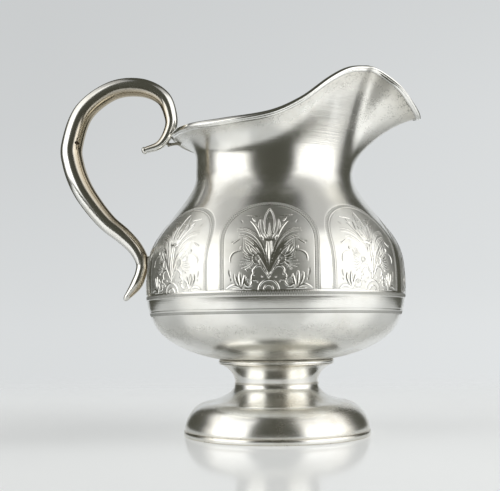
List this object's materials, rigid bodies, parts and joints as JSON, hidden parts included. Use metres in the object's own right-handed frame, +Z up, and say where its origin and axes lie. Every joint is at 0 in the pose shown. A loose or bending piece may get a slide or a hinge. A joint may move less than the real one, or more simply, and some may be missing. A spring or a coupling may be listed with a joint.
{
  "type": "water pitcher",
  "caption": "Footed silver water pitcher: bulbous body with engraved arched panels, high-sided spout, and a hollow handle that curls over at the rim.",
  "frame": {"origin": "centre of the foot's resting ring, on the body's axis, at the height of the table", "axes": "+Z up along the body's axis, +X towards the spout, handle towards -X"},
  "size_m": [0.2179, 0.1514, 0.2147],
  "materials": {
    "body_silver": "hand-polished silver sheet with fine wear",
    "engraved_silver": "polished silver, bright-cut and wriggle-cut engraving with tarnish in the cuts",
    "foot_silver": "polished silver with tarnish in the corners",
    "wire_silver": "bright polished drawn silver wire",
    "handle_silver": "polished silver with warm tarnish on the inner side",
    "solder": "grey hard solder and unpolished silver"
  },
  "bodies": {
    "root": {"base_wire": "foot_silver", "foot_dome": "foot_silver", "foot_stem": "foot_silver", "foot_collar": "foot_silver", "bowl": "body_silver", "shoulder": "engraved_silver", "neck_and_spout": "body_silver", "rim_wire": "wire_silver", "handle_left_half": "handle_silver", "handle_right_half": "handle_silver", "handle_curl_button": "wire_silver", "handle_tail_tip": "handle_silver", "handle_solder_pad": "solder", "rim_strut": "solder"}
  },
  "joints": []
}
